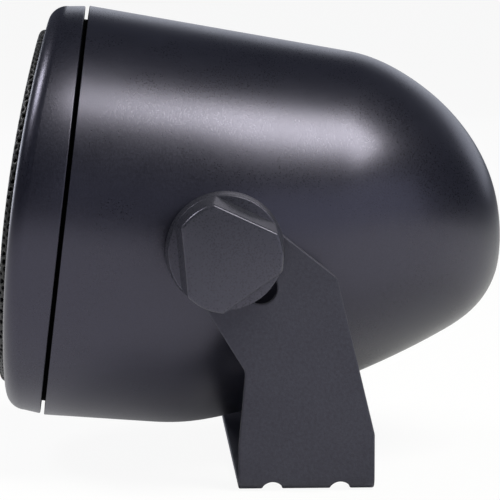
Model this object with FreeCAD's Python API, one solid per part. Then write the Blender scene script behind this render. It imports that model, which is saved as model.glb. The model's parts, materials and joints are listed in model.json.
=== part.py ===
"""Bullet loudspeaker on a folded U-bracket, one STEP file per piece, in millimetres.

The bracket's mounting face is at z = 0 with its centre at the origin, and the front looks along -Y.
The cabinet is modelled about its own axis, with y rearwards from the pivot, and is then tilted
and lifted to the pivot.
"""
import FreeCAD
import Part
import math
import os

V = FreeCAD.Vector

# Bracket
sheet = 2.0                 # steel sheet
bend_radius = 2.0           # inside the folds
base_depth = 41.6           # front to back
pivot_height = 74.0         # above the mounting face
pivot_forward = 25.0        # pivot in front of the base's centre
head_radius = 14.5          # round end of the arm about the pivot
shoulder_back = 34.1        # rear corner of the arm, from the pivot
shoulder_drop = 8.5
leg_top = 17.0              # where the leg's rear edge becomes upright
elbow_height = 36.6         # inner corner of the leg's front edge
elbow_inset = 2.0
heel_height = 14.0          # where the leg's front edge becomes upright
corner_round = 4.0          # rounding of the arm's corners
slot_angle = 47.0           # arm slot, down towards the rear
slot_travel = 16.0          # between its end centres
slot_width = 9.8
base_hole_radius = 3.25
base_hole_spacing = 50.0
base_slot_width = 5.8
base_slot_spacing = 20.8
base_slot_inner = 44.0      # inner end of each base slot, from the middle
base_slot_rise = 2.3        # how far a slot climbs the leg

# Cabinet outline: y rearwards from the pivot, and the drop from the mouth's radius towards the axis
tilt = 6.7                  # nose up, degrees
mouth_y = -48.75            # front rim of the housing
top_shoulder = (36.0, 4.9)
top_crown = ((55.6, 10.5), (72.6, 21.8), (86.6, 40.2))
belly_start = (-14.0, 1.5)
belly = ((-2.6, 2.8), (7.0, 5.4))
heel = (33.0, 15.9)         # middle of the terminal pad
tail = ((59.3, 30.0), (74.7, 39.9), (86.7, 50.5))
tip_y = 92.3
wall = 3.2
form_sections = 30
overrun = 6.0               # the form starts this far ahead of the mouth and is trimmed back

# Pivot
boss_radius = 13.0
boss_drop = 1.4             # the boss's face inside the mouth's radius
boss_length = 18.0
insert_radius = 5.5
insert_length = 14.0
stud_radius = 3.95
flange_thickness = 1.0      # friction flange of the slot bush
flange_radius = 11.5
washer_thickness = 1.0
washer_radius = 14.0
running_fit = 0.05
slide_fit = 0.15
press_gap = 0.02

# Knob
knob_disc_height = 6.8
knob_grip_height = 14.8
knob_base_radius = 18.1
knob_shelf_radius = 17.35
knob_face_radius = 16.6
flat_ratio = 0.777          # distance of a flat from the axis, as part of the face radius
flat_draft = 1.4
flat_count = 3
flat_turn = 18.0            # the first flat's normal, from straight up towards the rear
knob_edge = 0.7
stud_in_knob = 12.0
stud_in_insert = 12.5

# Front: bezel, baffle and grille
shadow_gap = 1.6
shadow_depth = 4.5
rim_y = -65.65              # foremost line of the bezel's rim
front_curve = 440.0         # the front bends about a level axis
rim_land = 8.8              # bezel's bore to the outside
bezel_edge = 7.2
ledge_y = -58.0             # the grille's skirt stands here
ledge_width = 1.7
baffle_y = -51.0
baffle_thickness = 3.0
spigot_length = 12.35
spigot_wall = 3.5
grille_gap = 0.5            # between the grille's skirt and the bezel's bore
grille_rise = 1.9           # proud of the rim
grille_sheet = 0.8
grille_edge = 1.8
perforation_radius = 3.1
perforation_pitch = 9.6
perforation_margin = 4.2    # plain border inside the grille's skirt

# Seal and screws
gasket_width = 3.0
gasket_height = 1.9
gasket_back = 9.0           # behind the bezel's rear face
bezel_screw_count = 6
bezel_screw_land = 3.8      # from the basket's flange out to the screws' circle
bezel_screw_rim = 3.2       # from the screws' circle out to the ledge's bore
bezel_screw_radius = 1.5
bezel_screw_length = 12.0
bezel_head_radius = 2.6
bezel_head_height = 1.8
screw_boss_radius = 3.4
screw_boss_length = 24.0
web_thickness = 3.0
screw_clearance = 0.2
thread_gap = 0.05

# Drive unit
gasket_sheet = 1.0
basket_flange_radius = 49.0
basket_flange_width = 7.0
basket_flange = 2.0
basket_fit = 0.5            # round the basket in the baffle's opening
basket_wall = 1.5
basket_drum = 8.0
basket_seat_radius = 30.0
basket_depth = 24.0         # flange's rear face to the seat's rear face
basket_window_count = 4
basket_window_width = 24.0
driver_screw_count = 4
driver_screw_inset = 2.2    # from the flange's edge
driver_screw_radius = 1.4
driver_screw_length = 7.0
driver_head_radius = 2.1
driver_head_height = 1.5
plate_radius = 30.0
plate_thickness = 4.0
magnet_radius = 35.0
magnet_bore = 17.0
magnet_thickness = 12.0
yoke_radius = 32.0
yoke_thickness = 4.5
pole_radius = 12.0
coil_gap = 0.4
former_wall = 0.3
winding_wall = 0.5
winding_height = 9.0
former_length = 26.0
cone_neck_y = -41.0
cone_inset = 2.0            # of the cone's edge, inside the surround's roll
cone_lip = 2.4
cone_paper = 0.8
surround_roll = 3.0
surround_rubber = 0.6
surround_lip = 2.2
spider_radius = 31.0
spider_cloth = 0.5
spider_y = -35.0
spider_waves = 3
spider_wave_height = 1.2
cap_radius = 16.0
cap_height = 7.0
cap_paper = 0.5

# Terminals, on a flat pad under the tail
pad_width = 42.0
pad_length = 26.0
pad_thickness = 7.0
block_width = 32.0
block_length = 17.0
block_depth = 9.0
block_flange = 1.2
block_margin = 3.0
block_fit = 0.15
lever_width = 8.4
lever_length = 11.0
lever_thickness = 2.2
lever_side_gap = 0.4
lever_shift = 1.5           # rearwards from the block's middle
lever_pin_radius = 0.8
lever_pin_reach = 1.2
lever_pin_inset = 1.6
lever_spacing = 15.0
lever_pocket_depth = 6.4
wire_hole_radius = 1.4
wire_hole_forward = 6.4
contact_width = 4.8
contact_sheet = 0.8
contact_length = 8.0
contact_seat = 2.0
terminal_screw_radius = 1.2
terminal_screw_length = 5.0
terminal_head_radius = 2.1
terminal_head_height = 1.3
lead_radius = 0.9
lead_bend = 5.0
lead_gap = 0.1              # at the soldered ends
lead_approach = 8.0         # straight run towards the basket
lead_slack = 18.0           # the leads level out this far ahead of the terminals
wadding_gap = 0.5
wadding_start = 58.0
wadding_tail = 14.0         # it ends this far ahead of the tip

# Derived sizes, outwards from the drive unit
basket_radius = basket_flange_radius - basket_flange_width
baffle_opening = basket_radius + basket_fit
driver_screw_circle = basket_flange_radius - driver_screw_inset
cone_radius = basket_radius - 2 * surround_roll - cone_inset
bezel_screw_circle = basket_flange_radius + bezel_screw_land
ledge_bore = bezel_screw_circle + bezel_screw_rim
bezel_bore = ledge_bore + ledge_width
grille_radius = bezel_bore - grille_gap
perforation_reach = grille_radius - perforation_margin
mouth_radius = bezel_bore + rim_land
boss_face = mouth_radius - boss_drop

# Derived places
arm_inner = boss_face + flange_thickness
arm_outer = arm_inner + sheet
knob_seat = arm_outer + washer_thickness
bezel_rear = mouth_y - shadow_gap
neck_radius = mouth_radius - shadow_depth
baffle_rear = baffle_y + baffle_thickness
flange_rear = baffle_y - gasket_sheet
flange_front = flange_rear - basket_flange
seat_rear = flange_rear + basket_depth
plate_rear = seat_rear + plate_thickness
magnet_rear = plate_rear + magnet_thickness
former_inner = pole_radius + coil_gap
former_outer = former_inner + former_wall
winding_outer = former_outer + winding_wall
pivot = V(0, -pivot_forward, pivot_height)
along = V(0, 1, 0)
across = V(1, 0, 0)


def rod(radius, length, start, direction):
    return Part.makeCylinder(radius, length, start, direction)


def tube(outer, inner, length, start, direction):
    return rod(outer, length, start, direction).cut(rod(inner, length, start, direction))


def axial(radius, y_from, y_to):
    return rod(radius, y_to - y_from, V(0, y_from, 0), along)


def box_between(low, high):
    size = high.sub(low)
    return Part.makeBox(size.x, size.y, size.z, low)


def ring_places(count, radius, first_angle):
    places = []
    for index in range(count):
        angle = math.radians(first_angle + 360.0 * index / count)
        places.append(V(radius * math.cos(angle), 0, radius * math.sin(angle)))
    return places


def spun(profile):
    """A closed outline of (radius, y) points turned about the cabinet's axis."""
    points = [V(radius, y, 0) for radius, y in profile]
    face = Part.Face(Part.makePolygon(points + points[:1]))
    return face.revolve(V(0, 0, 0), along, 360)


def in_cabinet(shape):
    """Tilts a piece of the cabinet nose up and lifts it to the pivot."""
    placed = shape.copy()
    placed.rotate(V(0, 0, 0), across, -tilt)
    placed.translate(pivot)
    return placed


def mirrored(shape):
    return shape.mirror(V(0, 0, 0), across)


def outline_point(place, side):
    """A point of the outline, above the axis for a side of 1 and below it for -1."""
    y, drop = place
    return V(0, y, side * (mouth_radius - drop))


def outline_chain(line_end, through, side):
    """One side of the housing's outline: a straight run and a curve that ends square at the tip."""
    start = outline_point((mouth_y, 0.0), side)
    end = outline_point(line_end, side)
    run = Part.LineSegment(start, end).toShape()
    curve = Part.BSplineCurve()
    points = [end] + [outline_point(place, side) for place in through] + [V(0, tip_y, 0)]
    curve.interpolate(Points=points, InitialTangent=end.sub(start), FinalTangent=V(0, 0, -side))
    return run, curve.toShape()


def point_on(chain, fraction):
    """The point and the direction at a part of the chain's length."""
    run, curve = chain
    distance = fraction * (run.Length + curve.Length)
    edge = run
    if distance > run.Length:
        edge = curve
        distance = min(distance - run.Length, curve.Length)
    parameter = edge.getParameterByLength(distance)
    return edge.valueAt(parameter), edge.tangentAt(parameter).normalize()


top_chain = outline_chain(top_shoulder, top_crown, 1)
bottom_chain = outline_chain(belly_start, belly + (heel,) + tail, -1)


def bullet(inset):
    """The housing's form, or its inside: round sections lofted between the two outlines."""
    upper, upper_way = point_on(top_chain, 0.0)
    lower, lower_way = point_on(bottom_chain, 0.0)
    ahead = upper.sub(V(upper_way).multiply(overrun))
    ahead_below = lower.sub(V(lower_way).multiply(overrun))
    pairs = [(ahead, upper_way, ahead_below, lower_way)]
    for index in range(form_sections):
        fraction = index / form_sections
        pairs.append(point_on(top_chain, fraction) + point_on(bottom_chain, fraction))
    sections = []
    for upper, upper_way, lower, lower_way in pairs:
        inner_side = V(0, upper_way.z, -upper_way.y).normalize()
        upper = upper.add(inner_side.multiply(inset))
        inner_side = V(0, -lower_way.z, lower_way.y).normalize()
        lower = lower.add(inner_side.multiply(inset))
        span = upper.sub(lower)
        circle = Part.Circle(upper.add(lower).multiply(0.5), V(0, span.z, -span.y), span.Length / 2)
        circle.XAxis = V(0, 0, 0).sub(span)
        sections.append(Part.Wire(circle.toShape()))
    sections.append(Part.Vertex(V(0, tip_y - inset, 0)))
    return Part.makeLoft(sections, True, False)


def pad_frame():
    """Placement of the terminal pad: local x across, y rearwards, z out of the housing."""
    middle = outline_point(heel, -1)
    curve = bottom_chain[1].Curve
    way = V(*curve.tangent(curve.parameter(middle))[0]).normalize()
    slope = math.degrees(math.atan2(way.z, way.y))
    turn = FreeCAD.Rotation(across, slope).multiply(FreeCAD.Rotation(along, 180))
    return FreeCAD.Placement(middle, turn)


def on_pad(shape):
    placed = shape.copy()
    placed.Placement = pad_frame()
    return placed


def pad_box(width, length, low, high):
    return box_between(V(-width / 2, -length / 2, low), V(width / 2, length / 2, high))


def side_bosses():
    bosses = rod(boss_radius, boss_length, V(boss_face - boss_length, 0, 0), across)
    return bosses.fuse(mirrored(bosses))


def insert_holes():
    hole = rod(insert_radius, insert_length, V(boss_face - insert_length, 0, 0), across)
    runout = rod(stud_radius + screw_clearance, boss_length, V(boss_face - boss_length, 0, 0), across)
    hole = hole.fuse(runout)
    return hole.fuse(mirrored(hole))


def screw_bosses(form):
    """Bosses for the bezel's screws, each on a web from the wall behind the spigot."""
    web_front = bezel_rear + spigot_length + screw_clearance
    shapes = []
    for place in ring_places(bezel_screw_count, bezel_screw_circle, 30.0):
        post = rod(screw_boss_radius, screw_boss_length, place.add(V(0, baffle_rear, 0)), along)
        web = box_between(
            V(bezel_screw_circle, web_front, -web_thickness / 2),
            V(mouth_radius, baffle_rear + screw_boss_length, web_thickness / 2))
        web.rotate(V(0, 0, 0), along, -math.degrees(math.atan2(place.z, place.x)))
        shapes.append(post.fuse(web))
    return shapes[0].fuse(shapes[1:]).common(form)


def make_housing():
    form = bullet(0.0).common(axial(2 * mouth_radius, mouth_y, 2 * tip_y))
    shell = form.cut(bullet(wall))
    pad = on_pad(pad_box(pad_width, pad_length, -pad_thickness, 0))
    shell = shell.fuse([side_bosses(), screw_bosses(form), pad])
    opening = on_pad(pad_box(block_width + 2 * block_fit, block_length + 2 * block_fit, -3 * pad_thickness, 1))
    shell = shell.cut([insert_holes(), opening])
    pilots = []
    for place in ring_places(bezel_screw_count, bezel_screw_circle, 30.0):
        start = place.add(V(0, baffle_rear, 0))
        pilots.append(rod(bezel_screw_radius + thread_gap, bezel_screw_length, start, along))
    for side in (-1, 1):
        start = V(side * terminal_screw_place(), 0, -terminal_screw_length)
        pilots.append(on_pad(rod(terminal_screw_radius + thread_gap, terminal_screw_length, start, V(0, 0, 1))))
    return shell.cut(pilots)


def front_block(radius, rise, y_to):
    """A round block along the axis, its front bent about a level axis."""
    crest = rim_y - rise
    bent = rod(front_curve + rise, 4 * radius, V(-2 * radius, rim_y + front_curve, 0), across)
    return axial(radius, crest - 1, y_to).common(bent)


def front_edge(shape, radius):
    """The edge where a round block's side meets its bent front."""
    edges = []
    for edge in shape.Edges:
        middle = edge.valueAt((edge.FirstParameter + edge.LastParameter) / 2)
        on_side = abs(math.hypot(middle.x, middle.z) - radius) < 0.01
        seam = edge.BoundBox.YLength > 0.9 * shape.BoundBox.YLength
        if on_side and not seam and middle.y < shape.BoundBox.YMax - 0.01:
            edges.append(edge)
    return edges


def make_bezel():
    ring = front_block(mouth_radius, 0.0, bezel_rear)
    ring = ring.makeFillet(bezel_edge, front_edge(ring, mouth_radius))
    ring = ring.fuse(axial(neck_radius, bezel_rear, bezel_rear + spigot_length))
    bores = [
        axial(bezel_bore, rim_y - bezel_edge, ledge_y),
        axial(ledge_bore, ledge_y, baffle_y),
        axial(baffle_opening, baffle_y, baffle_rear),
        axial(neck_radius - spigot_wall, baffle_rear, bezel_rear + spigot_length)]
    for place in ring_places(bezel_screw_count, bezel_screw_circle, 30.0):
        start = place.add(V(0, baffle_y, 0))
        bores.append(rod(bezel_screw_radius + screw_clearance, baffle_thickness, start, along))
    for place in ring_places(driver_screw_count, driver_screw_circle, 45.0):
        start = place.add(V(0, baffle_y, 0))
        bores.append(rod(driver_screw_radius + thread_gap, baffle_thickness, start, along))
    seat_y = bezel_rear + gasket_back
    seat = neck_radius + gasket_fit() - gasket_height
    bores.append(tube(neck_radius + 1, seat - thread_gap, gasket_width, V(0, seat_y, 0), along))
    return ring.cut(bores)


def gasket_fit():
    """How far the gasket stands out of the spigot, to just short of the tapering mouth."""
    shoulder_y, shoulder_fall = top_shoulder
    taper = shoulder_fall / (shoulder_y - mouth_y)
    back = bezel_rear + gasket_back + gasket_width - mouth_y
    return mouth_radius - taper * back - wall - 2 * thread_gap - neck_radius


def make_mouth_gasket():
    outer = neck_radius + gasket_fit()
    return tube(outer, outer - gasket_height, gasket_width, V(0, bezel_rear + gasket_back, 0), along)


def make_grille():
    """Bent perforated sheet with a rounded edge and a skirt that stands on the bezel's ledge."""
    outer = front_block(grille_radius, grille_rise, ledge_y)
    outer = outer.makeFillet(grille_edge, front_edge(outer, grille_radius))
    inner_radius = grille_radius - grille_sheet
    inner = front_block(inner_radius, grille_rise - grille_sheet, ledge_y)
    inner = inner.makeFillet(grille_edge - grille_sheet, front_edge(inner, inner_radius))
    sheet_metal = outer.cut(inner)
    holes = []
    row_pitch = perforation_pitch * math.sqrt(3) / 2
    rows = int(perforation_reach / row_pitch)
    columns = int(perforation_reach / perforation_pitch) + 1
    for row in range(-rows, rows + 1):
        for column in range(-columns, columns + 1):
            x = (column + 0.5 * (row % 2)) * perforation_pitch
            z = row * row_pitch
            if math.hypot(x, z) <= perforation_reach:
                start = V(x, rim_y - 2 * grille_rise, z)
                holes.append(rod(perforation_radius, ledge_y - rim_y, start, along))
    return sheet_metal.cut(holes)


def screw(radius, length, head_radius, head_height, seat, way):
    """A pan-head screw: its head stands on the seat and its shank runs along the way."""
    head = rod(head_radius, head_height, seat.sub(V(way).multiply(head_height)), way)
    return head.fuse(rod(radius, length, seat, way)).removeSplitter()


def make_bezel_screws():
    screws = []
    for place in ring_places(bezel_screw_count, bezel_screw_circle, 30.0):
        seat = place.add(V(0, baffle_y, 0))
        screws.append(screw(bezel_screw_radius, bezel_screw_length, bezel_head_radius, bezel_head_height, seat, along))
    return Part.makeCompound(screws)


def make_driver_screws():
    screws = []
    for place in ring_places(driver_screw_count, driver_screw_circle, 45.0):
        seat = place.add(V(0, flange_front, 0))
        screws.append(screw(driver_screw_radius, driver_screw_length - basket_flange, driver_head_radius,
                            driver_head_height, seat, along))
    return Part.makeCompound(screws)


def driver_screw_holes(y_from, length):
    holes = []
    for place in ring_places(driver_screw_count, driver_screw_circle, 45.0):
        holes.append(rod(driver_screw_radius + screw_clearance, length, place.add(V(0, y_from, 0)), along))
    return holes


def make_basket():
    """Pressed frame: flange, drum, cone with windows, spider ledge and magnet seat."""
    drum_rear = flange_rear + basket_drum
    inner = basket_radius - basket_wall
    seat_front = seat_rear - basket_wall
    taper = (inner - basket_seat_radius) / (seat_front - drum_rear)
    ledge_front = spider_y + spider_cloth
    ledge_radius = inner - taper * (ledge_front - drum_rear)
    frame = spun([
        (inner, flange_front), (basket_flange_radius, flange_front), (basket_flange_radius, flange_rear),
        (basket_radius, flange_rear), (basket_radius, drum_rear),
        (basket_seat_radius + basket_wall, seat_front), (basket_seat_radius, seat_rear),
        (winding_outer + coil_gap, seat_rear), (winding_outer + coil_gap, seat_front),
        (basket_seat_radius, seat_front), (inner, drum_rear)])
    ledge = spun([
        (spider_radius - surround_lip, ledge_front), (ledge_radius + basket_wall / 2, ledge_front),
        (ledge_radius + basket_wall / 2 - taper * basket_wall, ledge_front + basket_wall),
        (spider_radius - surround_lip, ledge_front + basket_wall)])
    windows = []
    for place in ring_places(basket_window_count, basket_radius, 45.0):
        window = box_between(
            V(basket_seat_radius, drum_rear, -basket_window_width / 2),
            V(basket_radius + 1, spider_y - basket_wall, basket_window_width / 2))
        window.rotate(V(0, 0, 0), along, -math.degrees(math.atan2(place.z, place.x)))
        windows.append(window)
    return frame.fuse(ledge).cut(windows + driver_screw_holes(flange_front, basket_flange))


def make_driver_gasket():
    ring = tube(basket_flange_radius, baffle_opening, gasket_sheet, V(0, flange_rear, 0), along)
    return ring.cut(driver_screw_holes(flange_rear, gasket_sheet))


def make_pole_plate():
    yoke = axial(yoke_radius, magnet_rear, magnet_rear + yoke_thickness)
    return yoke.fuse(axial(pole_radius, seat_rear - basket_wall, magnet_rear)).removeSplitter()


def make_voice_coil():
    former = tube(former_outer, former_inner, former_length, V(0, cone_neck_y - 1, 0), along)
    winding_y = seat_rear + plate_thickness / 2 - winding_height / 2
    winding = tube(winding_outer, former_outer, winding_height, V(0, winding_y, 0), along)
    return former.fuse(winding).removeSplitter()


def cone_slope():
    return (cone_neck_y - flange_front - cone_paper) / (cone_radius - former_outer)


def make_cone():
    """Paper cone with a flat lip under the surround."""
    neck = former_outer + thread_gap
    lip_rear = flange_front + cone_paper
    return spun([
        (neck, cone_neck_y), (neck, cone_neck_y - cone_paper),
        (cone_radius, flange_front), (cone_radius + cone_lip, flange_front),
        (cone_radius + cone_lip, lip_rear), (cone_radius, lip_rear)])


def make_dust_cap():
    base_y = cone_neck_y - cone_paper - cone_slope() * (cap_radius - former_outer) - thread_gap
    ball = (cap_radius ** 2 + cap_height ** 2) / (2 * cap_height)
    centre = V(0, base_y - cap_height + ball, 0)
    bowl = Part.makeSphere(ball, centre).cut(Part.makeSphere(ball - cap_paper, centre))
    return bowl.common(axial(cap_radius + 1, base_y - cap_height - 1, base_y))


def make_surround():
    """Half roll between the cone's lip and the basket's flange."""
    rear = flange_front
    front = rear - surround_rubber
    roll_inner = cone_radius + cone_lip
    middle = roll_inner + surround_roll
    half = surround_rubber / 2
    outer = surround_roll + half
    inner = surround_roll - half

    def at(radius, y):
        return V(radius, y, 0)

    lip_in = roll_inner - surround_lip
    lip_out = middle + surround_roll + surround_lip
    edges = [
        Part.LineSegment(at(lip_in, rear), at(lip_in, front)),
        Part.LineSegment(at(lip_in, front), at(middle - outer, front)),
        Part.Arc(at(middle - outer, front), at(middle, front - outer), at(middle + outer, front)),
        Part.LineSegment(at(middle + outer, front), at(lip_out, front)),
        Part.LineSegment(at(lip_out, front), at(lip_out, rear)),
        Part.LineSegment(at(lip_out, rear), at(middle + inner, rear)),
        Part.LineSegment(at(middle + inner, rear), at(middle + inner, front)),
        Part.Arc(at(middle + inner, front), at(middle, front - inner), at(middle - inner, front)),
        Part.LineSegment(at(middle - inner, front), at(middle - inner, rear)),
        Part.LineSegment(at(middle - inner, rear), at(lip_in, rear))]
    face = Part.Face(Part.Wire([edge.toShape() for edge in edges]))
    return face.revolve(V(0, 0, 0), along, 360)


def make_spider():
    """Corrugated cloth disc from the former to the basket's ledge."""
    inner = former_outer + thread_gap
    flat = surround_lip
    steps = 4 * spider_waves
    run = (spider_radius - flat - inner - flat) / steps
    crest = (0, 1, 0, -1)
    front = [(inner, spider_y)]
    for index in range(steps + 1):
        front.append((inner + flat + run * index, spider_y + spider_wave_height * crest[index % 4]))
    front.append((spider_radius, spider_y))
    rear = [(radius, y + spider_cloth) for radius, y in reversed(front)]
    return spun(front + rear)


def make_pivot_inserts():
    start = V(boss_face - insert_length, 0, 0)
    insert = tube(insert_radius - press_gap, stud_radius + running_fit, insert_length, start, across)
    return Part.makeCompound([insert, mirrored(insert)])


def make_slot_bush():
    bore = stud_radius + 2 * running_fit
    flange = tube(flange_radius, bore, flange_thickness, V(boss_face, 0, 0), across)
    sleeve = tube(slot_width / 2 - slide_fit, bore, sheet - slide_fit, V(arm_inner, 0, 0), across)
    return flange.fuse(sleeve).removeSplitter()


def make_knob_washer():
    return tube(washer_radius, stud_radius + 2 * running_fit, washer_thickness, V(arm_outer, 0, 0), across)


def make_stud():
    start = V(knob_seat - washer_thickness - sheet - flange_thickness - stud_in_insert, 0, 0)
    return rod(stud_radius, knob_seat + stud_in_knob - start.x, start, across)


def make_knob():
    """Hand knob: a disc and a grip, with drafted flats that leave crescent shelves on the disc."""
    shelf_x = knob_seat + knob_disc_height
    face_x = shelf_x + knob_grip_height
    disc = Part.makeCone(knob_base_radius, knob_shelf_radius, knob_disc_height, V(knob_seat, 0, 0), across)
    grip = Part.makeCone(knob_shelf_radius, knob_face_radius, knob_grip_height, V(shelf_x, 0, 0), across)
    face_flat = flat_ratio * knob_face_radius
    reach = 2 * knob_base_radius
    for index in range(flat_count):
        outline = [V(shelf_x, 0, face_flat + flat_draft), V(face_x, 0, face_flat), V(face_x, 0, reach),
                   V(shelf_x, 0, reach)]
        cutter = Part.Face(Part.makePolygon(outline + outline[:1])).extrude(V(0, 2 * reach, 0))
        cutter.translate(V(0, -reach, 0))
        cutter.rotate(V(0, 0, 0), across, -flat_turn + 360.0 * index / flat_count)
        grip = grip.cut(cutter)
    rim = [edge for edge in grip.Edges if edge.BoundBox.XMin > face_x - 0.01]
    grip = grip.makeFillet(knob_edge, rim)
    knob = disc.fuse(grip)
    knob = knob.makeFillet(knob_edge, disc_rim(knob))
    return knob.cut(rod(stud_radius + press_gap, stud_in_knob, V(knob_seat, 0, 0), across))


def disc_rim(knob):
    """The round edge of the knob's seat."""
    return [edge for edge in knob.Edges if edge.BoundBox.XMax < knob_seat + 0.01]


def arm_outline():
    """Side outline of the bracket: a round head about the pivot, a dog-leg arm and an upright leg."""
    head = V(0, pivot.y, pivot.z)
    shoulder = V(0, pivot.y + shoulder_back, pivot.z - shoulder_drop)
    back = base_depth / 2
    elbow = V(0, -back + elbow_inset, elbow_height)
    upper = tangent_point(head, shoulder, 1)
    lower = tangent_point(head, elbow, -1)
    crest = head.sub(upper.add(lower).multiply(0.5).sub(head).normalize().multiply(head_radius))
    corners = [upper, shoulder, V(0, back, leg_top), V(0, back, 0), V(0, -back, 0), V(0, -back, heel_height),
               elbow, lower]
    edges = [Part.makeLine(start, end) for start, end in zip(corners, corners[1:])]
    edges.append(Part.Arc(lower, crest, upper).toShape())
    return Part.Face(Part.Wire(edges))


def tangent_point(centre, outside, side):
    """Where a line from a point outside touches the arm's round head."""
    away = outside.sub(centre)
    bearing = math.atan2(away.z, away.y) + side * math.acos(head_radius / away.Length)
    return centre.add(V(0, head_radius * math.cos(bearing), head_radius * math.sin(bearing)))


def arm_slot():
    """A slot through both arms, from the pivot down towards the rear."""
    way = V(0, math.cos(math.radians(slot_angle)), -math.sin(math.radians(slot_angle)))
    length = 2 * arm_outer + 2
    start = V(-length / 2, pivot.y, pivot.z)
    upper = rod(slot_width / 2, length, start, across)
    lower = rod(slot_width / 2, length, start.add(V(way).multiply(slot_travel)), across)
    middle = box_between(V(-length / 2, 0, -slot_width / 2), V(length / 2, slot_travel, slot_width / 2))
    middle.rotate(V(0, 0, 0), across, -slot_angle)
    middle.translate(V(0, pivot.y, pivot.z))
    return upper.fuse([lower, middle])


def base_slot(side, y):
    """A slot in the base that runs out through the fold, with a round arch up the leg."""
    half = base_slot_width / 2
    end = rod(half, 3 * sheet, V(base_slot_inner + half, y, -sheet), V(0, 0, 1))
    floor = box_between(V(base_slot_inner + half, y - half, -sheet), V(arm_outer + 1, y + half, base_slot_rise - 1))
    trough = box_between(V(base_slot_inner + half, y - half, -sheet), V(arm_inner - bend_radius, y + half, 2 * sheet))
    arch = rod(half, bend_radius + sheet + 1, V(arm_inner - bend_radius, y, base_slot_rise - half), across)
    cutter = end.fuse([floor, trough, arch])
    return cutter if side > 0 else mirrored(cutter)


def make_bracket():
    """One folded sheet: a U across, cut to the arm's side outline."""
    height = pivot.z + head_radius
    outer = box_between(V(-arm_outer, -base_depth * 2, 0), V(arm_outer, base_depth * 2, height + 1))
    inner = box_between(V(-arm_inner, -base_depth * 2, sheet), V(arm_inner, base_depth * 2, height + 1))
    outer = outer.makeFillet(bend_radius + sheet, fold_edges(outer, 0.0))
    inner = inner.makeFillet(bend_radius, fold_edges(inner, sheet))
    channel = outer.cut(inner)
    side = arm_outline().extrude(V(2 * arm_outer + 2, 0, 0))
    side.translate(V(-arm_outer - 1, 0, 0))
    side = side.makeFillet(corner_round, corner_edges(side))
    bracket = channel.common(side).cut(arm_slot())
    holes = []
    for side_sign in (-1, 1):
        place = V(side_sign * base_hole_spacing / 2, 0, -1)
        holes.append(rod(base_hole_radius, sheet + 2, place, V(0, 0, 1)))
        for y in (-base_slot_spacing / 2, base_slot_spacing / 2):
            holes.append(base_slot(side_sign, y))
    return bracket.cut(holes).removeSplitter()


def fold_edges(block, z):
    """The two lower edges of a block that run front to back."""
    return [edge for edge in block.Edges if edge.BoundBox.YLength > base_depth and abs(edge.BoundBox.ZMax - z) < 0.01]


def corner_edges(side):
    """The arm's corners above the base."""
    heights = (pivot.z - shoulder_drop, leg_top, heel_height, elbow_height)
    return [edge for edge in side.Edges
            if edge.BoundBox.XLength > arm_outer and any(abs(edge.BoundBox.ZMin - z) < 0.01 for z in heights)
            and edge.BoundBox.ZLength < 0.01]


def terminal_screw_place():
    return block_width / 2 + block_margin / 2 + terminal_screw_radius / 2


def lever_box(side, gap, thickness, low):
    """The space of one lever, or its pocket with a gap on each side."""
    middle = side * lever_spacing / 2
    return box_between(
        V(middle - lever_width / 2 - gap, lever_shift - lever_length / 2 - gap, low - thickness),
        V(middle + lever_width / 2 + gap, lever_shift + lever_length / 2 + gap, low))


def lever_pin(side, radius):
    reach = lever_width / 2 + lever_side_gap + lever_pin_reach
    pin_y = lever_shift + lever_length / 2 - lever_pin_inset
    start = V(side * lever_spacing / 2 - reach, pin_y, block_flange - lever_thickness / 2)
    return rod(radius, 2 * reach, start, across)


def block_root():
    """The inner face of the terminal block."""
    return block_flange - block_depth - lever_pocket_depth / 4


def make_terminal_block():
    """Moulded block with a flange, a pocket for each lever and a wire hole in front of it."""
    block = pad_box(block_width, block_length, block_root(), block_flange)
    block = block.fuse(pad_box(pad_width - block_margin / 2, pad_length - block_margin, 0, block_flange))
    cuts = []
    for side in (-1, 1):
        cuts.append(lever_box(side, lever_side_gap, lever_pocket_depth, block_flange))
        cuts.append(lever_pin(side, lever_pin_radius + running_fit))
        middle = side * lever_spacing / 2
        start = V(middle, -wire_hole_forward, block_flange - lever_pocket_depth)
        cuts.append(rod(wire_hole_radius, lever_pocket_depth, start, V(0, 0, 1)))
        cuts.append(contact_strip(side, thread_gap))
        head = V(side * terminal_screw_place(), 0, 0)
        cuts.append(rod(terminal_screw_radius + screw_clearance, block_flange, head, V(0, 0, 1)))
    return block.cut(cuts).removeSplitter()


def contact_strip(side, gap):
    """A contact tab that stands in the block's inner face and takes a lead."""
    middle = side * lever_spacing / 2
    return box_between(
        V(middle - contact_width / 2 - gap, -contact_sheet / 2 - gap, block_root() - contact_length),
        V(middle + contact_width / 2 + gap, contact_sheet / 2 + gap, block_root() + contact_seat + gap))


def make_terminal_contacts():
    return Part.makeCompound([contact_strip(side, 0.0) for side in (-1, 1)])


def make_terminal_lever(side):
    body = lever_box(side, 0.0, lever_thickness, block_flange)
    return body.fuse(lever_pin(side, lever_pin_radius)).removeSplitter()


def make_terminal_screws():
    screws = []
    for side in (-1, 1):
        seat = V(side * terminal_screw_place(), 0, block_flange)
        length = terminal_screw_length + block_flange
        screws.append(screw(terminal_screw_radius, length - thread_gap, terminal_head_radius, terminal_head_height,
                            seat, V(0, 0, -1)))
    return Part.makeCompound(screws)


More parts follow.
